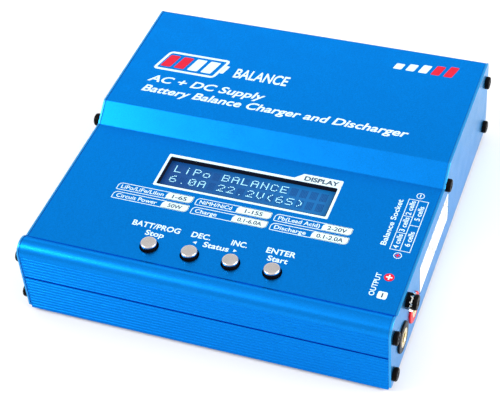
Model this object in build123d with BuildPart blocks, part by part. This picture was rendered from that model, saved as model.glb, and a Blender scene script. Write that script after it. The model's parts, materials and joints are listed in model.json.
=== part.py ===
from build123d import *
import os

# Balance battery charger for radio control packs. Millimetres, +Z up. The origin is at the
# middle of the footprint, on the surface that the rubber feet stand on.
# Pieces are placed by their distance from the front wall (s) and their height over the
# lower edge of the side plates (z); X is the same everywhere, with +X at the output jacks.

# Case
WIDTH = 135.0            # over the outer faces of the side plates
DEPTH = 137.8            # front wall to rear wall
HEIGHT = 33.8            # lower edge of the side plates to upper deck
DECK = 28.0              # lower edge of the side plates to display deck
UNDERSIDE = -0.9         # the lower extrusion hangs a little below the plates
PLATE = 1.0              # side plate thickness
PLATE_PROUD = 0.12       # how far a side plate's edge stands out round the case
WALL = 1.6               # extrusion wall
FOOT = 2.2               # lower edge of the side plates above the table
PARTING = 15.3           # where the upper and lower extrusions meet
CORNER = 4.6             # front upper corner radius
CREST = 29.8             # top of the rounded front lip
LIP_END = 7.7            # the lip meets the deck here
STEP_FOOT = 70.25
STEP_TOP = 78.0
RIM = 0.1                # broken edge of a side plate
RIM_GROOVE = 0.3
PLATE_CORNER = 1.2       # lower corners of a side plate
LOWER_CORNER = 0.5       # lower corners of the lower extrusion
RIB_PITCH = 1.46
RIB_GROOVE = 0.45        # groove radius between ribs
RIBS_BELOW = 10
RIBS_ABOVE = 7
TONGUE = 1.2             # height of the joining tongue
PARTING_SLOT = (1.2, 0.7)

# Fasteners: M2.5 pan heads in the extrusions' screw channels, (s, z)
SCREW_HEAD = 2.45
SCREW_HEAD_HEIGHT = 1.7
LEFT_HEAD_HEIGHT = 2.35   # deeper heads on the left plate
SCREW_SHANK = 1.25
SHANK_CLEARANCE = 0.05
CHANNEL = 2.2            # outer radius of a screw channel
UPPER_SCREWS = [(3.8, 22.0), (73.2, 27.4), (133.6, 26.6)]
LOWER_SCREWS = [(3.0, 4.7), (132.8, 5.1)]
EARTH_SCREW = (19.75, 23.2)
EARTH_HEAD = 2.75        # M3
EARTH_HEAD_HEIGHT = 1.4
EARTH_SHANK = 1.5
SPACER_CORNER = 3.1
SPACER_HEIGHT = 1.35
WASHER = 3.35
WASHER_HEIGHT = 1.1

# Display and buttons
WINDOW_X = -1.1
WINDOW_S = 53.0
WINDOW = (64.2, 14.9)
WINDOW_CORNER = 0.5
GLASS_TOP = 26.25
BUTTON_X = [-23.3, -8.25, 6.8, 21.8]
BUTTON_S = 15.3
BUTTON_HOLE = 3.45
BUTTON_CAP = 2.9
BUTTON_STEM = 2.6        # below the cap's rim
BUTTON_RIM = 0.75        # height of the rim
BUTTON_PROUD = 2.1
BUTTON_FLANGE = 4.1

# Sockets
OPENING_S = 56.15        # balance opening, middle
OPENING_Z = 15.05
OPENING = (40.0, 13.5)
HEADER_PITCH = 2.5
HEADER_THICK = 5.75
HEADER_END = 4.9         # housing length beyond the pins' span
HEADER_DEPTH = 7.65
HEADER_WALL = 1.0
HEADER_FACE = 67.55
PIN = 0.64
PIN_HOLE = 0.72
JACK_S = {"black": 13.75, "red": 27.75}
JACK_Z = 11.4
JACK_FLANGE = 5.75
JACK_PROUD = 0.7
JACK_SLEEVE = 3.5
JACK_BORE = 2.0          # takes a 4 mm plug
JACK_BODY = 4.4          # insulating tube through the plate
JACK_TAIL = 50.0
INLET_S = 116.2
INLET_Z = 16.9
INLET_FLANGE = (28.0, 22.6)
INLET_BODY = (27.0, 20.0)
INLET_CAVITY = (24.2, 16.6)
INLET_FLANGE_THICK = 3.0
INLET_DEPTH = 17.0
INLET_CHAMFER = 4.0
FAN_S = 89.85
FAN_Z = 16.4
FAN_SIZE = 25.0
FAN_DEPTH = 10.0
FAN_BORE = 11.8
FAN_SCREW = 10.0         # fixing holes from the fan's axis
ROTOR = 11.2
SHAFT = 1.0
DC_JACK_S = 18.0
SENSOR_S = 33.5
USB_S = 47.0

# Boards
BOARD = 1.6
MAIN_BOARD = 5.0         # underside height
DISPLAY_BOARD = 16.5
BOARD_RIGHT = 58.3
BOARD_TOP = MAIN_BOARD + BOARD
DISPLAY_TOP = DISPLAY_BOARD + BOARD
BOARD_SCREWS = [(-50, 9.5), (52, 38), (-60, 66), (-46, 126), (52, 126)]
DISPLAY_POSTS = [(-40, 11), (42, 11), (-40, 68), (42, 68)]

EDGE = WIDTH / 2
INSIDE = EDGE - PLATE
LOW = (Align.CENTER, Align.CENTER, Align.MIN)
CENTRED = (Align.CENTER, Align.CENTER)


def side(x):
    """Cross plane facing +X; local (s, z)."""
    return Plane(origin=(x, -DEPTH / 2, FOOT), x_dir=(0, 1, 0), z_dir=(1, 0, 0))


def left_side(x):
    """Cross plane facing -X; local (-s, z)."""
    return Plane(origin=(x, -DEPTH / 2, FOOT), x_dir=(0, -1, 0), z_dir=(-1, 0, 0))


def level(z):
    """Horizontal plane; local (x, s)."""
    return Plane(origin=(0, -DEPTH / 2, FOOT + z), x_dir=(1, 0, 0), z_dir=(0, 0, 1))


def facing_left(points):
    return [(-s, z) for s, z in points]


# ---- Case shells ----

def case_outline(bottom):
    """Front wall, rounded lip, deck, step and upper deck, closed at a height."""
    with BuildLine() as outline:
        front = Line((0, bottom), (0, CREST - CORNER))
        corner = TangentArc(front @ 1, (CORNER, CREST), tangent=(0, 1))
        lip = TangentArc(corner @ 1, (LIP_END, DECK + 0.5), tangent=(1, 0))
        Line(lip @ 1, (LIP_END + 0.4, DECK))
        FilletPolyline(
            (LIP_END + 0.4, DECK),
            (STEP_FOOT, DECK),
            (STEP_TOP, HEIGHT),
            (DEPTH, HEIGHT),
            (DEPTH, bottom),
            radius=[0.6, 0.9, 2.2],
        )
        Line((DEPTH, bottom), (0, bottom))
    return outline.edges()


def rib_grooves(first, count):
    """Fine lengthwise grooves down the front and rear walls."""
    heights = [first + RIB_PITCH * i for i in range(count)]
    with Locations(*[(s, z) for s in (-0.08, DEPTH + 0.08) for z in heights]):
        Circle(RIB_GROOVE, mode=Mode.SUBTRACT)


def screw_channels(points):
    """Round channels along the shell, webbed to the front or rear wall where they are near it."""
    with Locations(*points):
        Circle(CHANNEL)
    for s, z in points:
        wall = WALL / 2 if s < DEPTH / 2 else DEPTH - WALL / 2
        if abs(s - wall) < 5:
            with Locations(((s + wall) / 2, z)):
                Rectangle(abs(s - wall), 2.6)


def channel_holes(points):
    with Locations(*points):
        Circle(SCREW_SHANK + SHANK_CLEARANCE, mode=Mode.SUBTRACT)


def parting_slot():
    with Locations((0, PARTING), (DEPTH, PARTING)):
        Rectangle(*PARTING_SLOT, mode=Mode.SUBTRACT)


upper_outline = case_outline(PARTING)
plate_outline = case_outline(0)

with BuildPart() as top_extrusion:
    with BuildSketch(side(-INSIDE)) as upper_section:
        make_face(upper_outline)
        offset(amount=-WALL, mode=Mode.SUBTRACT)
        with Locations((WALL, PARTING)):
            Rectangle(DEPTH - 2 * WALL, 2 * WALL, align=(Align.MIN, Align.CENTER), mode=Mode.SUBTRACT)
        with Locations((0.75, PARTING), (DEPTH - WALL, PARTING)):
            Rectangle(WALL - 0.75, TONGUE + 0.1, align=Align.MIN, mode=Mode.SUBTRACT)
        screw_channels(UPPER_SCREWS)
        channel_holes(UPPER_SCREWS)
        rib_grooves(PARTING + 1.0, RIBS_ABOVE)
        parting_slot()
        with Locations((LIP_END + 0.2, DECK + 0.12)):
            Circle(0.32, mode=Mode.SUBTRACT)
    extrude(amount=2 * INSIDE)
    with BuildSketch(level(DECK)):
        with Locations((WINDOW_X, WINDOW_S)):
            RectangleRounded(*WINDOW, WINDOW_CORNER)
        with Locations(*[(x, BUTTON_S) for x in BUTTON_X]):
            Circle(BUTTON_HOLE)
    extrude(amount=-2 * WALL, mode=Mode.SUBTRACT)

with BuildPart() as bottom_extrusion:
    with BuildSketch(side(-INSIDE)) as lower_section:
        with BuildLine():
            FilletPolyline(
                (0, PARTING),
                (0, UNDERSIDE),
                (DEPTH, UNDERSIDE),
                (DEPTH, PARTING),
                radius=[LOWER_CORNER] * 2,
            )
            Line((DEPTH, PARTING), (0, PARTING))
        make_face()
        with Locations((WALL, WALL)):
            Rectangle(DEPTH - 2 * WALL, PARTING, align=Align.MIN, mode=Mode.SUBTRACT)
        with Locations((0.8, PARTING - 0.5), (DEPTH - WALL, PARTING - 0.5)):
            Rectangle(WALL - 0.8, TONGUE + 0.5, align=Align.MIN)
        screw_channels(LOWER_SCREWS)
        channel_holes(LOWER_SCREWS)
        rib_grooves(PARTING - 1.0 - RIB_PITCH * (RIBS_BELOW - 1), RIBS_BELOW)
        parting_slot()
    extrude(amount=2 * INSIDE)


# ---- Side plates ----

def plate_screw_holes():
    with Locations(*(UPPER_SCREWS + LOWER_SCREWS)):
        Circle(SCREW_SHANK + 0.2, mode=Mode.SUBTRACT)


def rim_ring(x):
    """Rebate round a plate's inner edge, which shows as a fine line beside the case."""
    with BuildSketch(side(x)) as ring:
        make_face(plate_outline)
        offset(amount=1.0)
        with BuildSketch(mode=Mode.SUBTRACT):
            make_face(plate_outline)
            offset(amount=-RIM_GROOVE)
    return ring.sketch


right_ring = rim_ring(INSIDE)
left_ring = rim_ring(-INSIDE - RIM_GROOVE)

with BuildPart() as right_side_plate:
    with BuildSketch(side(INSIDE)) as right_outline:
        make_face(plate_outline)
        fillet(right_outline.vertices().group_by(Axis.Y)[0], radius=PLATE_CORNER)
        offset(amount=PLATE_PROUD)
        plate_screw_holes()
        with Locations(EARTH_SCREW):
            Circle(EARTH_SHANK + SHANK_CLEARANCE, mode=Mode.SUBTRACT)
        with Locations((OPENING_S, OPENING_Z)):
            RectangleRounded(*OPENING, 0.6, mode=Mode.SUBTRACT)
        with Locations(*[(s, JACK_Z) for s in JACK_S.values()]):
            Circle(JACK_BODY + 0.1, mode=Mode.SUBTRACT)
    extrude(amount=PLATE)
    rim = right_side_plate.faces().sort_by(Axis.X)[-1].outer_wire().edges()
    chamfer(rim, length=RIM)
    extrude(right_ring, amount=RIM_GROOVE, dir=(1, 0, 0), mode=Mode.SUBTRACT)

with BuildPart() as left_side_plate:
    with BuildSketch(side(-EDGE)) as left_outline:
        make_face(plate_outline)
        fillet(left_outline.vertices().group_by(Axis.Y)[0], radius=PLATE_CORNER)
        offset(amount=PLATE_PROUD)
        plate_screw_holes()
        with Locations((INLET_S, INLET_Z)):
            Rectangle(INLET_BODY[0] + 0.2, INLET_BODY[1] + 0.2, mode=Mode.SUBTRACT)
        with Locations((DC_JACK_S, BOARD_TOP + 6.0)):
            Circle(4.2, mode=Mode.SUBTRACT)
        with Locations((SENSOR_S, BOARD_TOP + 0.3 + HEADER_THICK / 2)):
            Rectangle(10.3, HEADER_THICK + 0.4, mode=Mode.SUBTRACT)
        with Locations((USB_S, BOARD_TOP + 2.2)):
            RectangleRounded(8.4, 4.6, 0.8, mode=Mode.SUBTRACT)
        with Locations((FAN_S, FAN_Z)):
            Circle(1.2, mode=Mode.SUBTRACT)
            for ring in (1, 2, 3):
                with PolarLocations(3.1 * ring, 6 * ring):
                    Circle(1.2, mode=Mode.SUBTRACT)
            with GridLocations(2 * FAN_SCREW, 2 * FAN_SCREW, 2, 2):
                Circle(1.45, mode=Mode.SUBTRACT)
    extrude(amount=PLATE)
    rim = left_side_plate.faces().sort_by(Axis.X)[0].outer_wire().edges()
    chamfer(rim, length=RIM)
    extrude(left_ring, amount=RIM_GROOVE, dir=(1, 0, 0), mode=Mode.SUBTRACT)


# ---- Screws, earth point and feet ----

def pan_screw(head, head_height, shank, length):
    """Cross-recessed pan head screw, seated on z = 0 with its head up."""
    round_top = 0.4 * head_height
    with BuildPart() as screw:
        with BuildSketch(Plane.XZ):
            with BuildLine():
                Polyline(
                    (head - round_top, head_height),
                    (0, head_height),
                    (0, -length),
                    (shank - 0.3, -length),
                    (shank, -length + 0.5),
                    (shank, 0),
                    (head - 0.15, 0),
                    (head, 0.2),
                    (head, head_height - round_top),
                )
                RadiusArc(
                    (head - round_top, head_height), (head, head_height - round_top), round_top
                )
            make_face()
        revolve(axis=Axis.Z)
        with BuildSketch(Plane.XY.offset(head_height)):
            Rectangle(1.1 * head, 0.26 * head)
            Rectangle(0.26 * head, 1.1 * head)
        extrude(amount=-0.65 * head_height, mode=Mode.SUBTRACT)
    return screw.part


plate_screw = pan_screw(SCREW_HEAD, SCREW_HEAD_HEIGHT, SCREW_SHANK, 9.0)
left_screw = pan_screw(SCREW_HEAD, LEFT_HEAD_HEIGHT, SCREW_SHANK, 9.0)
fan_screw = pan_screw(2.0, 1.1, SCREW_SHANK, 6.0)
tapped_screw = pan_screw(
    EARTH_HEAD, EARTH_HEAD_HEIGHT, EARTH_SHANK, SPACER_HEIGHT + WASHER_HEIGHT + PLATE
)

with BuildPart(side(EDGE)) as right_plate_screws:
    with Locations(*(UPPER_SCREWS + LOWER_SCREWS)):
        add(plate_screw)

with BuildPart(left_side(-EDGE)) as left_plate_screws:
    with Locations(*facing_left(UPPER_SCREWS + LOWER_SCREWS)):
        add(left_screw)

with BuildPart() as earth_spacer:
    with BuildSketch(side(EDGE)):
        with Locations(EARTH_SCREW):
            RegularPolygon(SPACER_CORNER, 6)
            Circle(EARTH_SHANK + 0.2, mode=Mode.SUBTRACT)
    extrude(amount=SPACER_HEIGHT)

with BuildPart(side(EDGE + SPACER_HEIGHT)) as earth_lock_washer:
    with Locations(EARTH_SCREW):
        with Locations((0, 0, WASHER_HEIGHT / 2)):
            Cylinder(WASHER - 0.95, 0.4)
        with Locations((0, 0, WASHER_HEIGHT / 2)):
            with PolarLocations(WASHER - 0.7, 10):
                Box(1.6, 1.35, 0.3, rotation=(50, 0, 0))
    with Locations((*EARTH_SCREW, WASHER_HEIGHT / 2)):
        Cylinder(WASHER, WASHER_HEIGHT, mode=Mode.INTERSECT)
        Cylinder(EARTH_SHANK + 0.15, WASHER_HEIGHT, mode=Mode.SUBTRACT)

with BuildPart(side(EDGE + SPACER_HEIGHT + WASHER_HEIGHT)) as earth_screw:
    with Locations(EARTH_SCREW):
        add(tapped_screw)

FOOT_POINTS = [(x, s) for x in (-54, 54) for s in (14, DEPTH - 14)]
FOOT_HEIGHT = FOOT + UNDERSIDE

with BuildPart(level(-FOOT)) as rubber_feet:
    with BuildSketch(Plane.XZ) as foot_section:
        with BuildLine():
            Polyline(
                (0, 0), (4.3, 0), (4.9, 0.4), (5.4, FOOT_HEIGHT), (0, FOOT_HEIGHT), (0, 0)
            )
        make_face()
    foot = revolve(axis=Axis.Z, mode=Mode.PRIVATE)
    with Locations(*FOOT_POINTS):
        add(foot)


# ---- Display and buttons ----

with BuildPart(level(DISPLAY_BOARD)) as display_board:
    with BuildSketch(level(DISPLAY_BOARD)):
        with Locations((0.5, 39.3)):
            RectangleRounded(91, 64.6, 1.5)
        with Locations(*DISPLAY_POSTS):
            Circle(1.35, mode=Mode.SUBTRACT)
    extrude(amount=BOARD)

with BuildPart(level(DISPLAY_TOP)) as lcd_board:
    with BuildSketch(level(DISPLAY_TOP)):
        with Locations((WINDOW_X, WINDOW_S)):
            Rectangle(80, 35)
            with GridLocations(75, 30.6, 2, 2):
                Circle(1.3, mode=Mode.SUBTRACT)
    extrude(amount=BOARD)

LCD_BASE = DISPLAY_TOP + BOARD
BEZEL_TOP = GLASS_TOP + 0.1

with BuildPart(level(LCD_BASE)) as lcd_bezel:
    with Locations((WINDOW_X, WINDOW_S)):
        Box(71.2, 25.2, BEZEL_TOP - LCD_BASE, align=LOW)
        Box(70.2, 24.2, GLASS_TOP - LCD_BASE, align=LOW, mode=Mode.SUBTRACT)
        Box(WINDOW[0] + 0.6, WINDOW[1] + 0.6, 20, align=LOW, mode=Mode.SUBTRACT)
    tops = lcd_bezel.edges().filter_by(Axis.Z).sort_by(SortBy.LENGTH)[-4:]
    fillet(tops, radius=0.6)

with BuildPart(level(GLASS_TOP - 1.1)) as lcd_glass:
    with Locations((WINDOW_X, WINDOW_S)):
        Box(68.5, 21.5, 1.1, align=LOW)

with BuildPart(level(LCD_BASE)) as lcd_backlight:
    with Locations((WINDOW_X, WINDOW_S)):
        Box(69.0, 22.5, GLASS_TOP - 1.2 - LCD_BASE, align=LOW)

SWITCH_TOP = DISPLAY_TOP + 3.6
PLUNGER = 1.7
PLUNGER_FLOOR = DISPLAY_TOP + 1.4

with BuildPart(level(DISPLAY_TOP)) as tact_switches:
    with Locations(*[(x, BUTTON_S) for x in BUTTON_X]):
        Box(6.0, 6.0, SWITCH_TOP - DISPLAY_TOP, align=LOW)
        with Locations((0, 0, PLUNGER_FLOOR - DISPLAY_TOP)):
            Cylinder(PLUNGER + 0.1, 5, align=LOW, mode=Mode.SUBTRACT)


def button_cap(x):
    """Turned cap with a rim, a flange under the deck and a plunger into its switch."""
    top = DECK + BUTTON_PROUD
    flange_low = DECK - WALL - 1.9
    with BuildPart() as cap:
        with BuildSketch(Plane.XZ):
            with BuildLine():
                Polyline(
                    (0, PLUNGER_FLOOR + 0.6),
                    (PLUNGER, PLUNGER_FLOOR + 0.6),
                    (PLUNGER, flange_low),
                    (BUTTON_FLANGE, flange_low),
                    (BUTTON_FLANGE, flange_low + 1.2),
                    (BUTTON_STEM, flange_low + 1.2),
                    (BUTTON_STEM, top - BUTTON_RIM),
                    (BUTTON_CAP, top - BUTTON_RIM),
                    (BUTTON_CAP, top - 0.6),
                )
                RadiusArc((BUTTON_CAP, top - 0.6), (BUTTON_CAP - 0.6, top), -0.6)
                Line((BUTTON_CAP - 0.6, top), (0, top))
                Line((0, top), (0, PLUNGER_FLOOR + 0.6))
            make_face()
        revolve(axis=Axis.Z)
    with BuildPart(level(0)) as placed:
        with Locations((x, BUTTON_S)):
            add(cap.part)
    return placed.part


button_caps = dict(zip(("stop", "dec", "inc", "start"), map(button_cap, BUTTON_X)))

with BuildPart(level(BOARD_TOP)) as board_link:
    with Locations((0, 9.5)):
        Box(20.5, 2.5, 2.5, align=LOW)
        with Locations((0, 0, DISPLAY_BOARD - BOARD_TOP - 2.5)):
            Box(20.5, 2.5, 2.5, align=LOW)
        with GridLocations(2.54, 1, 8, 1):
            Box(PIN, PIN, DISPLAY_BOARD - BOARD_TOP, align=LOW)


# ---- Main board and what it carries ----

with BuildPart(level(MAIN_BOARD)) as main_board:
    with BuildSketch(level(MAIN_BOARD)):
        with BuildLine():
            Polyline(
                (-64.5, 6.5),
                (BOARD_RIGHT, 6.5),
                (BOARD_RIGHT, 129.5),
                (-55, 129.5),
                (-55, 75),
                (-64.5, 75),
                (-64.5, 6.5),
            )
        make_face()
        with Locations(*BOARD_SCREWS):
            Circle(1.45, mode=Mode.SUBTRACT)
    extrude(amount=BOARD)

with BuildPart() as board_posts:
    with BuildSketch(level(WALL)):
        with Locations(*BOARD_SCREWS):
            Circle(3.0)
            Circle(SCREW_SHANK + SHANK_CLEARANCE, mode=Mode.SUBTRACT)
    extrude(amount=MAIN_BOARD - WALL)
    with BuildSketch(level(BOARD_TOP)):
        with Locations(*DISPLAY_POSTS):
            RegularPolygon(2.75, 6)
            Circle(SCREW_SHANK + SHANK_CLEARANCE, mode=Mode.SUBTRACT)
    extrude(amount=DISPLAY_BOARD - BOARD_TOP)

with BuildPart(level(WALL)) as insulation_sheet:
    with BuildSketch(level(WALL)):
        with Locations((0, DEPTH / 2)):
            Rectangle(2 * INSIDE - 6, DEPTH - 18)
        with Locations(*BOARD_SCREWS):
            Circle(3.3, mode=Mode.SUBTRACT)
    extrude(amount=0.4)

board_screw = pan_screw(2.2, 1.3, SCREW_SHANK, 4.6)

with BuildPart(level(0)) as board_screws:
    with Locations(*[(x, s, BOARD_TOP) for x, s in BOARD_SCREWS]):
        add(board_screw)
    with Locations(*[(x, s, DISPLAY_TOP) for x, s in DISPLAY_POSTS[:2]]):
        add(board_screw)

with BuildPart(level(BOARD_TOP)) as microcontroller:
    with Locations((-15, 30)):
        Box(12, 12, 1.2, align=LOW)
        with GridLocations(0.8, 13, 12, 2):
            Box(0.35, 1.6, 0.5, align=LOW)
        with GridLocations(13, 0.8, 2, 12):
            Box(1.6, 0.35, 0.5, align=LOW)

with BuildPart(level(BOARD_TOP)) as power_transistors:
    with Locations((32, 30)):
        with GridLocations(9, 13, 3, 2):
            Box(6.6, 6.1, 2.3, align=LOW)
            with Locations((0, 3.9)):
                Box(5.3, 1.8, 1.3, align=LOW)

TOROIDS = [(14, 52), (-14, 52)]

with BuildPart(level(BOARD_TOP + 1.2)) as toroid_cores:
    with BuildSketch(level(BOARD_TOP + 1.2)):
        with Locations(*TOROIDS):
            Circle(8.5)
            Circle(4.5, mode=Mode.SUBTRACT)
    extrude(amount=6)

with BuildPart(level(BOARD_TOP + 4.2)) as toroid_windings:
    with Locations(*TOROIDS):
        with PolarLocations(6.5, 16):
            Box(6.0, 0.9, 8.0)
            Box(4.2, 0.9, 6.2, mode=Mode.SUBTRACT)

with BuildPart(level(BOARD_TOP)) as output_capacitors:
    with Locations((-36, 30), (-36, 42), (-36, 54), (36, 56)):
        Cylinder(4.0, 9.4, align=LOW)
        with Locations((0, 0, 1.6)):
            Torus(4.15, 0.35, mode=Mode.SUBTRACT)

with BuildPart(level(BOARD_TOP)) as discharge_resistors:
    with Locations(*[(x, 70) for x in (-22, -8, 6, 20)]):
        Box(10, 5, 5, align=LOW)

with BuildPart() as transformer_core:
    core_end = Plane(
        origin=(-4, -DEPTH / 2 + 94, FOOT + BOARD_TOP), x_dir=(1, 0, 0), z_dir=(0, 1, 0)
    )
    with BuildSketch(core_end):
        with Locations((0, -11)):
            Rectangle(27, 20)
            with Locations((-6.75, 0), (6.75, 0)):
                Rectangle(6.0, 13.0, mode=Mode.SUBTRACT)
    extrude(amount=10)

with BuildPart(level(BOARD_TOP + 4.8)) as transformer_winding:
    with BuildSketch(level(BOARD_TOP + 4.8)):
        with Locations((-4, 99)):
            RectangleRounded(19.0, 21.6, 2.5)
            Rectangle(7.9, 10.4, mode=Mode.SUBTRACT)
    extrude(amount=12.4)

with BuildPart(level(BOARD_TOP)) as bulk_capacitor:
    with Locations((-33, 96)):
        Cylinder(8.0, 22, align=LOW)
        with Locations((0, 0, 2.2)):
            Torus(8.2, 0.5, mode=Mode.SUBTRACT)
    fillet(bulk_capacitor.edges().group_by(Axis.Z)[-1], radius=0.8)

with BuildPart(level(BOARD_TOP)) as mains_choke:
    with Locations((-33, 120)):
        Box(15, 14, 3, align=LOW)
        with Locations((0, 0, 3)):
            Cylinder(6.5, 13, align=LOW)
            with Locations((0, 0, 13)):
                Cylinder(7.2, 1.5, align=LOW)

with BuildPart(level(BOARD_TOP)) as mains_fuse:
    with Locations((-49, 90, 3.2)):
        Cylinder(2.6, 18, rotation=(90, 0, 0))
        with Locations((0, -7.5, 0), (0, 7.5, 0)):
            Box(7.0, 4.6, 6.4)

with BuildPart(level(BOARD_TOP)) as heat_sink:
    with Locations((26, 122)):
        Box(46, 2.5, 23, align=LOW)
        with Locations((0, -3.5)):
            with GridLocations(5.0, 1, 9, 1):
                Box(1.2, 4.6, 23, align=LOW)

with BuildPart(level(BOARD_TOP)) as rectifiers:
    with Locations((12, 125.6, 4.0), (40, 125.6, 4.0)):
        Box(10, 4.5, 15, align=LOW)
        with GridLocations(2.54, 1, 3, 1):
            with Locations((0, 0, -4.0)):
                Box(0.9, 0.6, 4.2, align=LOW)

with BuildPart(level(BOARD_TOP)) as supply_capacitors:
    with Locations((24, 96), (24, 108), (38, 96), (38, 108)):
        Cylinder(5.0, 18, align=LOW)
        with Locations((0, 0, 1.8)):
            Torus(5.15, 0.4, mode=Mode.SUBTRACT)


# ---- Balance sockets ----

def header_length(pins):
    return HEADER_PITCH * (pins - 1) + HEADER_END


def pin_row(pins, centre):
    first = centre[0] - HEADER_PITCH * (pins - 1) / 2
    return [(first + HEADER_PITCH * i, centre[1]) for i in range(pins)]


def socket_header(plane, pins, centre):
    """Open-fronted housing with a floor that the pins stand in."""
    length = header_length(pins)
    with BuildPart() as header:
        with BuildSketch(plane):
            with Locations(centre):
                Rectangle(length, HEADER_THICK)
            with Locations(*pin_row(pins, centre)):
                Rectangle(PIN_HOLE, PIN_HOLE, mode=Mode.SUBTRACT)
        extrude(amount=HEADER_WALL)
        with BuildSketch(plane):
            with Locations(centre):
                Rectangle(length, HEADER_THICK)
                Rectangle(length - 2 * HEADER_WALL, HEADER_THICK - 2 * HEADER_WALL, mode=Mode.SUBTRACT)
        extrude(amount=HEADER_DEPTH)
        with BuildSketch(plane.offset(HEADER_WALL + 1.5)):
            with Locations((centre[0], centre[1] + HEADER_THICK / 2)):
                with GridLocations(length - 6.4, 1, 2, 1):
                    Rectangle(1.6, 2 * HEADER_WALL)
        extrude(amount=HEADER_DEPTH, mode=Mode.SUBTRACT)
    return header.part


def row_centres(pin_counts, gap, z):
    """Middles of housings set side by side across the balance opening."""
    lengths = [header_length(n) for n in pin_counts]
    start = OPENING_S - (sum(lengths) + gap * (len(lengths) - 1)) / 2
    centres = []
    for length in lengths:
        centres.append((start + length / 2, z))
        start += length + gap
    return centres


ROW_UPPER = OPENING_Z + 3.25
ROW_LOWER = OPENING_Z - 3.25
UPPER_PINS = [5, 4, 3]
LOWER_PINS = [7, 6]
upper_centres = row_centres(UPPER_PINS, 0.7, ROW_UPPER)
lower_centres = row_centres(LOWER_PINS, 0.9, ROW_LOWER)
balance = list(zip(UPPER_PINS + LOWER_PINS, upper_centres + lower_centres))
header_back = side(HEADER_FACE - HEADER_DEPTH)
balance_headers = {
    f"balance_header_{pins - 1}_cell": socket_header(header_back, pins, centre)
    for pins, centre in balance
}
balance_pin_points = [point for pins, centre in balance for point in pin_row(pins, centre)]

sensor_back = left_side(-HEADER_FACE + HEADER_DEPTH)
sensor_centre = (-SENSOR_S, BOARD_TOP + 0.3 + HEADER_THICK / 2)
sensor_header = socket_header(sensor_back, 3, sensor_centre)

with BuildPart() as header_pins:
    with BuildSketch(header_back.offset(-3.0)):
        with Locations(*balance_pin_points):
            Rectangle(PIN, PIN)
    extrude(amount=8.4)
    with BuildSketch(sensor_back.offset(-2.0)):
        with Locations(*pin_row(3, sensor_centre)):
            Rectangle(PIN, PIN)
    extrude(amount=7.4)

with BuildPart() as balance_board:
    with BuildSketch(side(BOARD_RIGHT)):
        with Locations((OPENING_S, 14.0)):
            Rectangle(44, 22)
        with Locations(*balance_pin_points):
            Rectangle(PIN_HOLE, PIN_HOLE, mode=Mode.SUBTRACT)
    extrude(amount=HEADER_FACE - HEADER_DEPTH - BOARD_RIGHT)


# ---- Output jacks ----

def jack_collar(s):
    with BuildPart(side(INSIDE)) as collar:
        with Locations((s, JACK_Z)):
            Cylinder(JACK_BODY, PLATE + 0.2, align=LOW)
            with Locations((0, 0, PLATE)):
                Cylinder(JACK_FLANGE, JACK_PROUD, align=LOW)
            Cylinder(JACK_SLEEVE + 0.02, 10, mode=Mode.SUBTRACT)
        chamfer(collar.edges().group_by(Axis.X)[-1].sort_by(SortBy.LENGTH)[-1], length=0.25)
    return collar.part


collars = {name: jack_collar(s) for name, s in JACK_S.items()}

with BuildPart(side(JACK_TAIL)) as jack_sleeves:
    with Locations(*[(s, JACK_Z) for s in JACK_S.values()]):
        Cylinder(JACK_SLEEVE, EDGE + JACK_PROUD + 0.1 - JACK_TAIL, align=LOW)
        with Locations((0, 0, 3.0)):
            Cylinder(JACK_BORE, 20, align=LOW, mode=Mode.SUBTRACT)
    mouths = jack_sleeves.edges().group_by(Axis.X)[-1].sort_by(SortBy.LENGTH)[:2]
    chamfer(mouths, length=0.3)

with BuildPart() as jack_nuts:
    with BuildSketch(side(INSIDE - 3.2)):
        with Locations(*[(s, JACK_Z) for s in JACK_S.values()]):
            RegularPolygon(5.8, 6)
            Circle(JACK_SLEEVE + 0.02, mode=Mode.SUBTRACT)
    extrude(amount=3.2)


def output_lead(s):
    """Short insulated lead from a jack's tail down to the board."""
    points = [
        (JACK_TAIL, s - DEPTH / 2, FOOT + JACK_Z),
        (JACK_TAIL - 4.5, s - DEPTH / 2, FOOT + JACK_Z),
        (JACK_TAIL - 4.5, s - DEPTH / 2, FOOT + BOARD_TOP),
    ]
    with BuildPart() as lead:
        with BuildLine() as run:
            FilletPolyline(*points, radius=3.0)
        with BuildSketch(Plane(origin=points[0], x_dir=(0, 1, 0), z_dir=(-1, 0, 0))):
            Circle(1.5)
        sweep(path=run.line)
    return lead.part


with BuildPart() as output_leads:
    for jack_s in JACK_S.values():
        add(output_lead(jack_s))


# ---- Power and data sockets on the left plate ----

with BuildPart(left_side(-EDGE)) as ac_inlet_housing:
    with Locations((-INLET_S, INLET_Z)):
        Box(*INLET_FLANGE, INLET_FLANGE_THICK, align=LOW)
    outer_edges = ac_inlet_housing.edges().filter_by(Axis.X)
    fillet(outer_edges, radius=1.2)
    with Locations((-INLET_S, INLET_Z, INLET_FLANGE_THICK)):
        Box(*INLET_BODY, INLET_DEPTH + 2.0, align=CENTRED + (Align.MAX,))
    with BuildSketch(left_side(-EDGE - INLET_FLANGE_THICK)):
        with Locations((-INLET_S, INLET_Z)):
            cavity = Rectangle(*INLET_CAVITY)
        chamfer(cavity.vertices().group_by(Axis.Y)[-1], length=INLET_CHAMFER)
    extrude(amount=-INLET_DEPTH, mode=Mode.SUBTRACT)
    with Locations((-INLET_S, INLET_Z, -INLET_DEPTH)):
        with Locations((-7, -1.5), (7, -1.5), (0, 2.5)):
            Box(2.1, 4.1, 20, mode=Mode.SUBTRACT)

INLET_MOUTH = -EDGE - INLET_FLANGE_THICK

with BuildPart(left_side(INLET_MOUTH + INLET_DEPTH + 8.0)) as ac_inlet_blades:
    with Locations((-INLET_S, INLET_Z)):
        with Locations((-7, -1.5), (7, -1.5), (0, 2.5)):
            Box(2.0, 4.0, INLET_DEPTH + 3.0, align=LOW)

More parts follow.
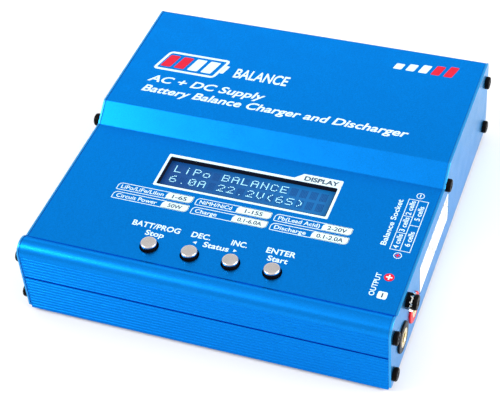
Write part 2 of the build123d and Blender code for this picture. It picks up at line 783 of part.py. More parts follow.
with BuildPart(left_side(-INSIDE + 12)) as dc_jack_housing:
    with Locations((-DC_JACK_S, BOARD_TOP + 5.5)):
        Box(9, 11, 12, align=LOW)
    with Locations((-DC_JACK_S, BOARD_TOP + 6.0, 12)):
        Cylinder(4.0, PLATE, align=LOW)
    with Locations((-DC_JACK_S, BOARD_TOP + 6.0, 3.5)):
        Cylinder(3.1, 20, align=LOW, mode=Mode.SUBTRACT)

with BuildPart(left_side(-INSIDE + 8.5)) as dc_jack_pin:
    with Locations((-DC_JACK_S, BOARD_TOP + 6.0)):
        Cylinder(1.05, 9.0, align=LOW)

with BuildPart() as usb_port:
    with BuildSketch(left_side(-EDGE + 8)):
        with Locations((-USB_S, BOARD_TOP + 2.2)):
            RectangleRounded(7.7, 4.0, 0.7)
            RectangleRounded(6.9, 3.2, 0.5, mode=Mode.SUBTRACT)
    extrude(amount=7.7)
    with BuildSketch(left_side(-EDGE + 8)):
        with Locations((-USB_S, BOARD_TOP + 2.2)):
            RectangleRounded(7.7, 4.0, 0.7)
    extrude(amount=0.8)
    with BuildSketch(left_side(-EDGE + 8)):
        with Locations((-USB_S, BOARD_TOP + 2.5)):
            Rectangle(4.6, 0.9)
    extrude(amount=6.6)


# ---- Cooling fan ----

ROTOR_FRONT = -INSIDE + 0.7

with BuildPart(side(-INSIDE)) as fan_frame:
    with Locations((FAN_S, FAN_Z)):
        Box(FAN_SIZE, FAN_SIZE, FAN_DEPTH, align=LOW)
    fillet(fan_frame.edges().filter_by(Axis.X), radius=2.0)
    with Locations((FAN_S, FAN_Z)):
        Cylinder(FAN_BORE, 3 * FAN_DEPTH, mode=Mode.SUBTRACT)
        with GridLocations(2 * FAN_SCREW, 2 * FAN_SCREW, 2, 2):
            Cylinder(SCREW_SHANK + SHANK_CLEARANCE, 3 * FAN_DEPTH, mode=Mode.SUBTRACT)
        with Locations((0, 0, FAN_DEPTH - 1.2)):
            Cylinder(6.0, 1.2, align=LOW)
            with PolarLocations(8.8, 4, start_angle=30):
                Box(7.0, 1.6, 1.2, align=LOW)
        with Locations((0, 0, 3.4)):
            Cylinder(2.4, FAN_DEPTH - 3.4, align=LOW)
            Cylinder(SHAFT + 0.05, FAN_DEPTH - 4.2, align=LOW, mode=Mode.SUBTRACT)

with BuildPart(side(ROTOR_FRONT)) as fan_rotor:
    with Locations((FAN_S, FAN_Z)):
        with PolarLocations(8.8, 7):
            Box(5.4, 0.9, 12.0, rotation=(38, 0, 0))
        with Locations((0, 0, 3.7)):
            Cylinder(ROTOR, 6.6, mode=Mode.INTERSECT)
        with Locations((0, 0, 0.3)):
            Cylinder(6.6, 6.8, align=LOW)
        with Locations((0, 0, 1.5)):
            Cylinder(5.4, 20, align=LOW, mode=Mode.SUBTRACT)
        Cylinder(SHAFT, 7.6, align=LOW)
        with Locations((0, 0, -1)):
            Cylinder(6.6, 1.3, align=LOW, mode=Mode.SUBTRACT)

with BuildPart(left_side(-EDGE)) as fan_screws:
    with Locations((-FAN_S, FAN_Z)):
        with GridLocations(2 * FAN_SCREW, 2 * FAN_SCREW, 2, 2):
            add(fan_screw)


# ---- Write every piece ----

pieces = {
    "top_extrusion": top_extrusion.part,
    "bottom_extrusion": bottom_extrusion.part,
    "right_side_plate": right_side_plate.part,
    "left_side_plate": left_side_plate.part,
    "right_plate_screws": right_plate_screws.part,
    "left_plate_screws": left_plate_screws.part,
    "earth_spacer": earth_spacer.part,
    "earth_lock_washer": earth_lock_washer.part,
    "earth_screw": earth_screw.part,
    "rubber_feet": rubber_feet.part,
    "display_board": display_board.part,
    "board_link": board_link.part,
    "lcd_board": lcd_board.part,
    "lcd_bezel": lcd_bezel.part,
    "lcd_glass": lcd_glass.part,
    "lcd_backlight": lcd_backlight.part,
    "tact_switches": tact_switches.part,
    "main_board": main_board.part,
    "board_posts": board_posts.part,
    "board_screws": board_screws.part,
    "insulation_sheet": insulation_sheet.part,
    "microcontroller": microcontroller.part,
    "power_transistors": power_transistors.part,
    "toroid_cores": toroid_cores.part,
    "toroid_windings": toroid_windings.part,
    "output_capacitors": output_capacitors.part,
    "discharge_resistors": discharge_resistors.part,
    "transformer_core": transformer_core.part,
    "transformer_winding": transformer_winding.part,
    "bulk_capacitor": bulk_capacitor.part,
    "supply_capacitors": supply_capacitors.part,
    "mains_choke": mains_choke.part,
    "mains_fuse": mains_fuse.part,
    "heat_sink": heat_sink.part,
    "rectifiers": rectifiers.part,
    "balance_board": balance_board.part,
    "header_pins": header_pins.part,
    "jack_nuts": jack_nuts.part,
    "jack_sleeves": jack_sleeves.part,
    "output_leads": output_leads.part,
    "ac_inlet_housing": ac_inlet_housing.part,
    "ac_inlet_blades": ac_inlet_blades.part,
    "dc_jack_housing": dc_jack_housing.part,
    "dc_jack_pin": dc_jack_pin.part,
    "sensor_header": sensor_header,
    "usb_port": usb_port.part,
    "fan_frame": fan_frame.part,
    "fan_rotor": fan_rotor.part,
    "fan_screws": fan_screws.part,
}
pieces.update({f"button_{name}": cap for name, cap in button_caps.items()})
pieces.update({f"{name}_jack_collar": collar for name, collar in collars.items()})
pieces.update(balance_headers)

os.makedirs("parts", exist_ok=True)
for label, piece in pieces.items():
    piece.label = label
    export_step(piece, f"parts/{label}.step")
print(len(pieces), "pieces")
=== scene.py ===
import bpy
import bmesh
import json
from math import cos, pi, radians, sin
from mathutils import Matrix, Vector


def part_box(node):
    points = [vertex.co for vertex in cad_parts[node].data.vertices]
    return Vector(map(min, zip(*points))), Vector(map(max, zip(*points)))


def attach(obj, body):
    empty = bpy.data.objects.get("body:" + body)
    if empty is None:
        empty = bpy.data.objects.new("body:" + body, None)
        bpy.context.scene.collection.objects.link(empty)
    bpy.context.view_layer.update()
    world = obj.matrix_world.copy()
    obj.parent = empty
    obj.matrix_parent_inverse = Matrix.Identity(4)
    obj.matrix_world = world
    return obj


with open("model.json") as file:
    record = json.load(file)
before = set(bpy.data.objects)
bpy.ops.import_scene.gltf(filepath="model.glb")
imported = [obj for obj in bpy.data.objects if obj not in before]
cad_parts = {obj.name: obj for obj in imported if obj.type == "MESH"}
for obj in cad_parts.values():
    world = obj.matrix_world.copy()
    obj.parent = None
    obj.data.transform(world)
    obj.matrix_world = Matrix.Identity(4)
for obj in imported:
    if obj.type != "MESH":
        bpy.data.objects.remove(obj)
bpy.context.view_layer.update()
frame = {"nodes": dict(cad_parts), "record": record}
nodes = frame["nodes"]

MM = 0.001


# ---- Finishes -------------------------------------------------------------------------------
# Colours are linear, and noise scales are per metre.

DRIFT = (0.3, 0.7)            # most of a noise's values lie between these
SPECKLE = (0.35, 0.65)        # a narrower band, for more contrast
GRAIN_STRENGTH = 0.6          # of every relief, which its depth then scales
COAT_ROUGHNESS = 0.12
SCATTER = (0.002, 0.002, 0.0018)
SEAL_ROUGHNESS = 0.22         # of the clear layer on anodised metal


def finish_nodes(name):
    """An empty Principled material and its node tree."""
    material = bpy.data.materials.new(name)
    material.use_nodes = True
    tree = material.node_tree
    return material, tree, tree.nodes["Principled BSDF"]


def noise(tree, scale, stretch=(1, 1, 1), detail=2.0, rough=0.5):
    """Noise in the object's own metres, drawn out along an axis where stretch is small."""
    place = tree.nodes.new("ShaderNodeTexCoord")
    mapping = tree.nodes.new("ShaderNodeMapping")
    texture = tree.nodes.new("ShaderNodeTexNoise")
    mapping.inputs["Scale"].default_value = stretch
    texture.inputs["Scale"].default_value = scale
    texture.inputs["Detail"].default_value = detail
    texture.inputs["Roughness"].default_value = rough
    tree.links.new(place.outputs["Object"], mapping.inputs["Vector"])
    tree.links.new(mapping.outputs["Vector"], texture.inputs["Vector"])
    return texture.outputs["Fac"]


def remap(tree, value, low, high, new_low=0.0, new_high=1.0):
    node = tree.nodes.new("ShaderNodeMapRange")
    for socket, number in zip(node.inputs[1:5], (low, high, new_low, new_high)):
        socket.default_value = number
    tree.links.new(value, node.inputs[0])
    return node.outputs[0]


def mix_colour(tree, factor, first, second):
    node = tree.nodes.new("ShaderNodeMix")
    node.data_type = "RGBA"
    tree.links.new(factor, node.inputs["Factor"])
    for socket, colour in ((node.inputs["A"], first), (node.inputs["B"], second)):
        if isinstance(colour, bpy.types.NodeSocket):
            tree.links.new(colour, socket)
        else:
            socket.default_value = (*colour, 1)
    return node.outputs["Result"]


def shade(colour, factor):
    return tuple(min(1.0, part * factor) for part in colour)


def bump(tree, shader, height, strength, distance, below=None):
    node = tree.nodes.new("ShaderNodeBump")
    node.inputs["Strength"].default_value = strength
    node.inputs["Distance"].default_value = distance
    tree.links.new(height, node.inputs["Height"])
    if below is not None:
        tree.links.new(below, node.inputs["Normal"])
    tree.links.new(node.outputs["Normal"], shader.inputs["Normal"])
    return node.outputs["Normal"]


def finish(
    name,
    colour,
    roughness,
    metallic=0.0,
    grain=3000,
    grain_depth=0.01,
    mottle=0.08,
    mottle_scale=400,
    stretch=(1, 1, 1),
    coat=0.0,
    subsurface=0.0,
    spread=0.06,
    gloss=0.5,
):
    """Colour that drifts a little, roughness that varies, and a fine relief, all in real sizes."""
    material, tree, shader = finish_nodes(name)
    drift = remap(tree, noise(tree, mottle_scale, detail=4), *DRIFT)
    tree.links.new(
        mix_colour(tree, drift, shade(colour, 1 - mottle), shade(colour, 1 + mottle)),
        shader.inputs["Base Color"],
    )
    patches = noise(tree, mottle_scale * 0.4, stretch)
    tree.links.new(
        remap(tree, patches, *DRIFT, roughness - spread, roughness + spread),
        shader.inputs["Roughness"],
    )
    bump(tree, shader, noise(tree, grain, stretch, detail=3), GRAIN_STRENGTH, grain_depth * MM)
    shader.inputs["Metallic"].default_value = metallic
    shader.inputs["Specular IOR Level"].default_value = gloss
    shader.inputs["Coat Weight"].default_value = coat
    shader.inputs["Coat Roughness"].default_value = COAT_ROUGHNESS
    shader.inputs["Subsurface Weight"].default_value = subsurface
    shader.inputs["Subsurface Radius"].default_value = SCATTER
    return material


def anodised(name, colour, roughness, die_lines, edge, seal):
    """Dyed anodised aluminium: a blasted grain, faint die lines along X and a clear sealed layer.
    Edge is the colour of reflections at a grazing angle."""
    material, tree, shader = finish_nodes(name)
    grain = noise(tree, 2600, detail=3, rough=0.6)
    cloud = noise(tree, 120, detail=5)
    lines = noise(tree, 1.0, (12, 2600, 2600), detail=3)
    speck = remap(tree, grain, *SPECKLE)
    base = mix_colour(tree, speck, shade(colour, 0.88), shade(colour, 1.12))
    drift = remap(tree, cloud, *SPECKLE, 0, 0.35)
    tree.links.new(
        mix_colour(tree, drift, base, shade(colour, 0.93)),
        shader.inputs["Base Color"],
    )
    tree.links.new(
        remap(tree, cloud, *DRIFT, roughness - 0.03, roughness + 0.04),
        shader.inputs["Roughness"],
    )
    blasted = bump(tree, shader, grain, GRAIN_STRENGTH, 0.03 * MM)
    bump(tree, shader, lines, die_lines, 0.008 * MM, below=blasted)
    shader.inputs["Metallic"].default_value = 1.0
    shader.inputs["Specular Tint"].default_value = (*edge, 1)
    shader.inputs["Coat Weight"].default_value = seal
    shader.inputs["Coat Roughness"].default_value = SEAL_ROUGHNESS
    return material


AZURE = (0.002, 0.205, 0.69)
PLATE_AZURE = (0.03, 0.32, 0.72)
finishes = {
    "case_blue": anodised("anodised_case", AZURE, 0.33, 0.35, (0.25, 0.55, 0.82), 0.03),
    "plate_blue": anodised("anodised_plate", PLATE_AZURE, 0.33, 0.0, (1, 1, 1), 0.0),
    "screw_black": finish(
        "black_oxide", (0.003, 0.0025, 0.0025), 0.26,
        grain=5000, grain_depth=0.008, spread=0.03, gloss=0.04,
    ),
    "zinc_steel": finish("bright_zinc", (0.72, 0.72, 0.7), 0.25, 1.0, mottle=0.12, grain=2500),
    "foot_rubber": finish("black_rubber", (0.018, 0.018, 0.019), 0.75, grain=2200, grain_depth=0.03),
    "board_green": finish("solder_mask", (0.012, 0.14, 0.05), 0.35, grain=1500, coat=0.3),
    "post_brass": finish("turned_brass", (0.68, 0.48, 0.18), 0.3, 1.0, stretch=(1, 1, 8)),
    "lcd_metal": finish("black_frame", (0.006, 0.007, 0.014), 0.45, grain=3000, gloss=0.08),
    "lcd_diffuser": finish("diffuser", (0.1, 0.35, 0.8), 0.5, subsurface=0.2),
    "switch_black": finish(
        "black_moulding", (0.004, 0.004, 0.006), 0.5, grain=2600, grain_depth=0.02, gloss=0.06
    ),
    "insulator_sheet": finish("fibre_sheet", (0.7, 0.68, 0.6), 0.8, grain=1800, grain_depth=0.04),
    "ferrite": finish("ferrite", (0.045, 0.045, 0.05), 0.65, grain=4000, grain_depth=0.02),
    "winding": finish("enamelled_copper", (0.5, 0.17, 0.05), 0.28, 0.9, grain=2500, grain_depth=0.06),
    "capacitor_can": finish("sleeved_can", (0.015, 0.02, 0.07), 0.3, coat=0.4),
    "ceramic": finish("ceramic", (0.72, 0.68, 0.56), 0.6, grain=2500, grain_depth=0.03),
    "sink_aluminium": finish("plain_aluminium", (0.7, 0.7, 0.71), 0.38, 1.0, stretch=(1, 1, 0.05)),
    "header_white": finish(
        "white_nylon", (0.93, 0.93, 0.9), 0.42, mottle=0.03, grain=2600, subsurface=0.25
    ),
    "contact_tin": finish("tinned_contact", (0.75, 0.73, 0.68), 0.28, 1.0),
    "jack_black": finish("black_collar", (0.004, 0.004, 0.005), 0.3, grain=2600, gloss=0.06),
    "jack_red": finish("red_collar", (0.55, 0.008, 0.016), 0.35, grain=2600, gloss=0.15),
    "jack_gold": finish("gold_plate", (0.96, 0.78, 0.42), 0.25, 1.0, mottle=0.06, grain=3500),
    "lead_sheath": finish("silicone_sheath", (0.25, 0.012, 0.012), 0.5, grain=1500),
    "fan_plastic": finish("fan_moulding", (0.014, 0.014, 0.016), 0.38, grain=2400, grain_depth=0.02),
    "button_metal": finish(
        "satin_silver", (0.6, 0.565, 0.555), 0.24, 0.95, mottle=0.05, grain=4200, grain_depth=0.012
    ),
}

GLASS_SHEEN = 0.3             # roughness of the display and its dots
GLASS_GLOSS = 0.1
# Display ground tones, left to right: the paler right end is a painted reflection
GROUND_LEFT, GROUND_REFLECTION_RIGHT = (0.004, 0.028, 0.13), (0.005, 0.09, 0.26)
GROUND_GLOW = 0.35


def glow(tree, shader, tone, strength):
    """Gives a lit part of the display the same tone for its surface and its light."""
    tree.links.new(tone, shader.inputs["Base Color"])
    tree.links.new(tone, shader.inputs["Emission Color"])
    shader.inputs["Emission Strength"].default_value = strength
    shader.inputs["Roughness"].default_value = GLASS_SHEEN
    shader.inputs["Specular IOR Level"].default_value = GLASS_GLOSS


def display_blue(low_x, high_x):
    """Lit display ground: deep blue on the left, paler towards the right as a painted reflection."""
    material, tree, shader = finish_nodes("display_ground")
    place = tree.nodes.new("ShaderNodeTexCoord")
    split = tree.nodes.new("ShaderNodeSeparateXYZ")
    tree.links.new(place.outputs["Object"], split.inputs[0])
    # painted reflection: the ground grows paler along X
    painted_reflection_ramp = remap(tree, split.outputs["X"], low_x, high_x)
    cloud = noise(tree, 90)
    blend = tree.nodes.new("ShaderNodeMath")
    blend.operation = "MULTIPLY_ADD"
    blend.inputs[1].default_value = 0.25
    tree.links.new(cloud, blend.inputs[0])
    tree.links.new(painted_reflection_ramp, blend.inputs[2])
    glow(tree, shader, mix_colour(tree, blend.outputs[0], GROUND_LEFT, GROUND_REFLECTION_RIGHT), GROUND_GLOW)
    bump(tree, shader, noise(tree, 2500), 0.2, 0.004 * MM)
    return material


def glowing(name, colour, strength):
    """One of the display's dots."""
    material, tree, shader = finish_nodes(name)
    drift = remap(tree, noise(tree, 300), *DRIFT)
    glow(tree, shader, mix_colour(tree, drift, shade(colour, 0.9), colour), strength)
    return material


glass_low, glass_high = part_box("lcd_glass")
finishes["lcd_glass"] = display_blue(glass_low.x, glass_high.x)

slots = {entry["node"]: entry["material_slot"] for entry in frame["record"]["subparts"]}
for node_name, node in nodes.items():
    finished = finishes[slots[node_name]]
    if not node.material_slots:
        node.data.materials.append(finished)
    for slot in node.material_slots:
        slot.material = finished


# ---- Printed graphics -----------------------------------------------------------------------
# Places and sizes are in millimetres, with +X to the right and +Y to the rear.

INK = 0.03 * MM               # thickness of the printed film
INK_GAP = 0.004 * MM          # between a film and what it lies on
STEP_RISE = 5.8 * MM          # display deck to upper deck
PRINT_Y = -0.75               # the printing's zero line, from the middle of the case
CAPITAL = 0.7                 # height of a capital in the built-in face, at size 1
SAME_POINT = 1e-7             # corners nearer than this are joined
upper_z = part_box("top_extrusion")[1].z
deck_z = upper_z - STEP_RISE
glass_z = glass_high.z


def ink(name, colour, roughness, mottle, gloss=0.5):
    return finish(
        name, colour, roughness, mottle=mottle, grain=5000, grain_depth=0.004, gloss=gloss
    )


def add_piece(name, mesh, material):
    """The object made of a finished bmesh, which it frees."""
    data = bpy.data.meshes.new(name)
    mesh.to_mesh(data)
    mesh.free()
    data.materials.append(material)
    piece = bpy.data.objects.new(name, data)
    bpy.context.scene.collection.objects.link(piece)
    return piece


class Print:
    """A printed film: flat shapes on one level, each a thin closed solid."""

    def __init__(self, name, level, material, lift=0):
        """Lift is the number of films that lie below this one."""
        self.name = name
        self.low = level + INK_GAP + lift * (INK + INK_GAP)
        self.high = self.low + INK
        self.material = material
        self.mesh = bmesh.new()

    def at(self, x, y, z):
        return self.mesh.verts.new((x * MM, (y + PRINT_Y) * MM, z))

    def fill(self, points):
        """A filled outline, counter-clockwise."""
        low = [self.at(x, y, self.low) for x, y in points]
        high = [self.at(x, y, self.high) for x, y in points]
        self.mesh.faces.new(high)
        self.mesh.faces.new(low[::-1])
        for i in range(len(points)):
            j = (i + 1) % len(points)
            self.mesh.faces.new((low[i], low[j], high[j], high[i]))

    def band(self, outer, inner):
        """The strip between two outlines with the same number of points."""
        rings = [
            [self.at(x, y, z) for x, y in points]
            for points, z in (
                (outer, self.low),
                (outer, self.high),
                (inner, self.high),
                (inner, self.low),
            )
        ]
        bridge(self.mesh, rings)

    def words(self, text, left, right, base, cap, weight=0.0, slant=0.0, upright=True):
        """Lettering that spans left to right, with capitals of height cap standing on base.
        Lettering that isn't upright reads along +Y with its tops towards -X, and then left and
        right are places along Y and base is a place along X."""
        curve = bpy.data.curves.new("lettering", "FONT")
        curve.body = text
        curve.extrude = 1.0
        curve.offset = weight
        curve.shear = slant
        curve.resolution_u = 4
        holder = bpy.data.objects.new("lettering", curve)
        bpy.context.scene.collection.objects.link(holder)
        bpy.context.view_layer.update()
        mesh = bpy.data.meshes.new_from_object(holder)
        bpy.data.objects.remove(holder)
        xs = [v.co.x for v in mesh.vertices]
        stretch = (right - left) / (max(xs) - min(xs))
        for v in mesh.vertices:
            along = left + (v.co.x - min(xs)) * stretch
            up = v.co.y * cap / CAPITAL
            z = self.high if v.co.z > 0 else self.low
            x, y = (along, base + up) if upright else (base - up, along)
            v.co = (x * MM, (y + PRINT_Y) * MM, z)
        self.mesh.from_mesh(mesh)
        bpy.data.meshes.remove(mesh)

    def done(self):
        bmesh.ops.remove_doubles(self.mesh, verts=self.mesh.verts, dist=SAME_POINT)
        bmesh.ops.recalc_face_normals(self.mesh, faces=self.mesh.faces)
        piece = add_piece(self.name, self.mesh, self.material)
        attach(piece, "root")
        return piece


def bridge(mesh, rings):
    """Faces between each ring of corners and the next, and from the last to the first."""
    for a, b in zip(rings, rings[1:] + rings[:1]):
        for i in range(len(a)):
            j = (i + 1) % len(a)
            mesh.faces.new((a[i], a[j], b[j], b[i]))


def arc(cx, cy, radius, start, end, steps=6):
    return [
        (cx + radius * cos(radians(start + (end - start) * i / steps)),
         cy + radius * sin(radians(start + (end - start) * i / steps)))
        for i in range(steps + 1)
    ]


def rounded(x0, y0, x1, y1, radii, grow=0.0, steps=6):
    """Rectangle with a radius for each corner: front left, front right, rear right, rear left."""
    x0, y0, x1, y1 = x0 - grow, y0 - grow, x1 + grow, y1 + grow
    r = [max(0.02, radius + grow) for radius in radii]
    return (
        arc(x0 + r[0], y0 + r[0], r[0], 180, 270, steps)
        + arc(x1 - r[1], y0 + r[1], r[1], 270, 360, steps)
        + arc(x1 - r[2], y1 - r[2], r[2], 0, 90, steps)
        + arc(x0 + r[3], y1 - r[3], r[3], 90, 180, steps)
    )


def ring(cx, cy, radius):
    return arc(cx, cy, radius, 0, 345, 23)


white = ink("ink_white", (0.54, 0.69, 0.7), 0.55, 0.04, 0.2)
red = ink("ink_red", (0.52, 0.008, 0.03), 0.5, 0.06, 0.12)
dark = ink("ink_dark", (0.02, 0.045, 0.1), 0.5, 0.08)
deck_white = Print("deck_print_white", deck_z, white)
deck_dark = Print("deck_print_dark", deck_z, dark, lift=1)
deck_red = Print("deck_print_red", deck_z, red)
deck_detail = Print("deck_print_detail", deck_z, white, lift=1)
upper_white = Print("upper_print_white", upper_z, white)
upper_red = Print("upper_print_red", upper_z, red)

WINDOW = (-33.2, -22.6, 31.0, -7.7)      # the display's opening: left, front, right, rear
WINDOW_CORNERS = [0.5] * 4
BORDER = 1.0
REAR_EXTRA = 0.3              # the border is this much wider at the rear
TAB_LEFT, TAB_TOP_LEFT, TAB_TOP = 14.2, 17.2, -3.6
# Black lining of the display opening: partly a black bezel, partly painted shade on its walls
SHADE_LINING = 0.3
SHADE_LINING_DROP = 0.12            # top of the black lining that paints shade on the opening's walls, below the deck


def window_border():
    """Border of the display's opening, with the tab that names it."""
    rear = WINDOW[3] + BORDER + REAR_EXTRA
    right = WINDOW[2] + BORDER
    deck_white.band(
        rounded(WINDOW[0] - BORDER, WINDOW[1] - BORDER, right, rear, WINDOW_CORNERS),
        rounded(*WINDOW, WINDOW_CORNERS, grow=0.05),
    )
    corner = WINDOW_CORNERS[0]
    deck_white.fill(
        [(TAB_LEFT, rear), (right, rear)]
        + arc(right - corner, TAB_TOP - corner, corner, 0, 90, 4)
        + [(TAB_TOP_LEFT, TAB_TOP)]
    )
    deck_dark.words("DISPLAY", 17.9, 30.8, -6.75, 2.15, weight=0.035)


def window_shade_lining():
    """Black lining between the opening's edge and the glass: partly a black bezel, partly painted
    shade on the opening's walls.
    """
    # painted shade: this black sheet darkens the opening's walls, where shade and a black bezel lie
    shade_lining = Print("window_shade_lining", glass_z, finishes["lcd_metal"])
    shade_lining.high = deck_z - SHADE_LINING_DROP * MM
    shade_lining.band(
        rounded(*WINDOW, WINDOW_CORNERS), rounded(*WINDOW, WINDOW_CORNERS, grow=-SHADE_LINING)
    )
    shade_lining.done()


# Black sleeves that show between each silver rim and the deck
BUTTONS = ["button_stop", "button_dec", "button_inc", "button_start"]
SLEEVE_INNER, SLEEVE_OUTER, SLEEVE_SKIRT = 2.6, 2.86, 4.0
SLEEVE_CHAMFER = (0.08, 0.1)  # across and down
SKIRT_AT_SLEEVE, SKIRT_AT_EDGE = 0.25, 0.2
RIM_HEIGHT = 0.75
CASE_WALL = 1.6
SKIRT_DROP = 0.7              # underside of the skirt, below the case's wall


def lathe(name, profile, centre, material, steps=48):
    """A closed profile of (radius, height) turned about a vertical axis, in metres."""
    mesh = bmesh.new()
    turns = [2 * pi * i / steps for i in range(steps)]
    bridge(mesh, [
        [mesh.verts.new((centre[0] + radius * cos(turn), centre[1] + radius * sin(turn), z))
         for turn in turns]
        for radius, z in profile
    ])
    bmesh.ops.recalc_face_normals(mesh, faces=mesh.faces)
    return add_piece(name, mesh, material)


def button_sleeve(button):
    low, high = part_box(button)
    centre = ((low.x + high.x) / 2, (low.y + high.y) / 2)
    top = high.z - RIM_HEIGHT * MM
    shelf = deck_z - (CASE_WALL + SKIRT_DROP) * MM
    inner, outer, skirt = (r * MM for r in (SLEEVE_INNER, SLEEVE_OUTER, SLEEVE_SKIRT))
    painted_reflection_ramp, down = (size * MM for size in SLEEVE_CHAMFER)
    profile = [
        (inner, shelf), (inner, top), (outer - painted_reflection_ramp, top), (outer, top - down),
        (outer, shelf + SKIRT_AT_SLEEVE * MM), (skirt, shelf + SKIRT_AT_EDGE * MM), (skirt, shelf),
    ]
    name = button.replace("button", "sleeve")
    sleeve = lathe(name, profile, centre, finishes["switch_black"])
    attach(sleeve, button)


# Six label pills: left end, start of the white field, right end, setting, range, and how wide the
# two texts are
PILL_LINE = 0.28
PILL_ENDS = [0.5, 1.7, 0.5, 1.7]
FIELD_INSET = 0.1
NAME_START = 1.5
PILL_ROWS = [
    (-29.3, -25.65, [
        (-46.25, -27.1, -16.9, "LiPo/LiFe/LiIon", "1-6S", 16.6, 5.6),
        (-15.75, -0.25, 12.75, "NiMH/NiCd", "1-15S", 12.2, 6.6),
        (13.9, 31.5, 42.25, "Pb(Lead Acid)", "2-20V", 15.2, 7.0),
    ]),
    (-33.9, -30.25, [
        (-46.25, -27.1, -16.9, "Circuit Power", "50W", 15.8, 5.4),
        (-15.75, -0.25, 12.75, "Charge", "0.1-6.0A", 8.2, 9.0),
        (13.9, 29.0, 42.25, "Discharge", "0.1-2.0A", 11.6, 9.6),
    ]),
]


def pill(low, high, left, middle, right, setting, span, setting_width, span_width):
    """The setting's name in an outline, and its range on a white field."""
    deck_white.band(
        rounded(left, low, right, high, PILL_ENDS),
        rounded(left, low, right, high, PILL_ENDS, grow=-PILL_LINE),
    )
    deck_white.fill(
        rounded(middle, low + FIELD_INSET, right - FIELD_INSET, high - FIELD_INSET, PILL_ENDS)
    )
    start = left + NAME_START
    deck_white.words(setting, start, start + setting_width, low + 0.95, 1.8, weight=0.01)
    centre, half = (middle + right) / 2, span_width / 2
    deck_dark.words(span, centre - half, centre + half, low + 0.9, 1.85, weight=0.02)


BOLD = 0.018
NAMES_BASE, ACTIONS_BASE = -44.55, -48.0
NAMES_CAP, ACTIONS_CAP = 2.45, 2.35
ARROW_Y, ARROW_LENGTH, ARROW_HALF = -46.9, 1.3, 0.65


def button_names():
    for text, left, right in (
        ("BATT/PROG", -33.4, -15.4), ("DEC.", -11.0, -3.9), ("INC.", 3.8, 9.6), ("ENTER", 16.6, 27.1)
    ):
        deck_white.words(text, left, right, NAMES_BASE, NAMES_CAP, weight=BOLD)
    for text, left, right in (("Stop", -27.1, -20.1), ("Status", -5.4, 4.0), ("Start", 18.1, 25.4)):
        deck_white.words(text, left, right, ACTIONS_BASE, ACTIONS_CAP, weight=BOLD)
    for tip, side in ((-9.3, 1), (7.0, -1)):
        back = tip + side * ARROW_LENGTH
        arrow = [(tip, ARROW_Y), (back, ARROW_Y - ARROW_HALF), (back, ARROW_Y + ARROW_HALF)]
        deck_white.fill(arrow if side > 0 else arrow[::-1])


TABLE = (56.6, -31.5, 63.8, -5.9)        # left, front, right, rear
TABLE_MIDDLE = 60.2
LINE = 0.24
LINE_INSET = 0.1
LEFT_BASE, RIGHT_BASE = 59.3, 62.9       # of the wording in the table's two columns
CELLS = [
    ("4 cells", -30.6, -23.7, LEFT_BASE), ("3 cells", -22.3, -15.2, LEFT_BASE),
    ("2 cells", -13.9, -6.7, LEFT_BASE), ("6 cells", -28.8, -21.6, RIGHT_BASE),
    ("5 cells", -15.9, -8.7, RIGHT_BASE),
]


def table_line(x0, y0, x1, y1):
    deck_white.fill(rounded(x0, y0, x1, y1, [0.02] * 4, steps=1))


def socket_table():
    """Which balance socket is for how many cells, and the names along the right edge."""
    left, front, right, rear = TABLE
    half = LINE / 2
    deck_white.band(rounded(*TABLE, [0.1] * 4), rounded(*TABLE, [0.1] * 4, grow=-LINE))
    table_line(TABLE_MIDDLE - half, front + LINE_INSET, TABLE_MIDDLE + half, rear - LINE_INSET)
    for x0, x1, dividers in ((left, TABLE_MIDDLE, (-14.6, -23.0)), (TABLE_MIDDLE, right, (-18.6,))):
        for y in dividers:
            table_line(x0 + LINE_INSET, y - half, x1 - LINE_INSET, y + half)
    for text, start, end, base in CELLS:
        deck_white.words(text, start, end, base, 1.9, weight=0.012, upright=False)
    deck_white.words("Balance Socket", -30.2, -7.1, 54.9, 1.95, weight=0.012, upright=False)
    deck_white.words("OUTPUT", -53.7, -43.2, 57.4, 1.85, weight=0.014, upright=False)


MARK_X = 60.15
TABLE_MINUS_Y, TABLE_PLUS_Y = -3.6, -33.8
JACK_PLUS_Y = -44.3
MARK_OUTER, MARK_INNER = 1.45, 1.2


def cross(film, x, y, reach, width):
    a, b = reach, width / 2
    film.fill([
        (x - b, y - a), (x + b, y - a), (x + b, y - b), (x + a, y - b), (x + a, y + b), (x + b, y + b),
        (x + b, y + a), (x - b, y + a), (x - b, y + b), (x - a, y + b), (x - a, y - b), (x - b, y - b),
    ])


def polarity_marks():
    """Minus and plus at the table's ends, then plus and minus beside the jacks."""
    for y in (TABLE_MINUS_Y, TABLE_PLUS_Y):
        deck_white.band(ring(MARK_X, y, MARK_OUTER), ring(MARK_X, y, MARK_INNER))
    deck_white.fill(rounded(MARK_X - 0.17, -4.4, MARK_X + 0.17, -2.8, [0.1] * 4, steps=3))
    cross(deck_red, MARK_X, TABLE_PLUS_Y, 0.85, 0.4)
    deck_red.fill(ring(MARK_X, JACK_PLUS_Y, 1.75))
    cross(deck_detail, MARK_X, JACK_PLUS_Y, 1.1, 0.5)
    deck_white.fill(rounded(MARK_X - 1.65, -54.35, MARK_X + 1.65, -51.05, [0.7] * 4))
    deck_dark.fill(rounded(MARK_X - 0.25, -53.7, MARK_X + 0.25, -51.7, [0.1] * 4, steps=3))


LEAN = 0.28                   # shift to the right per millimetre towards the rear
BATTERY = (-57.0, 32.6, -31.5, 44.4, 1.8)
BATTERY_LINE = 1.1
CHARGE_X, CHARGE_PITCH, CHARGE_WIDTH = -54.6, 5.6, 4.1
GAUGE_X, GAUGE_PITCH, GAUGE_WIDTH = 33.2, 4.9, 3.3
GAUGE_Y, GAUGE_HEIGHT, GAUGE_STEP = 56.2, 3.4, 0.75
TITLE_WEIGHT = 0.02


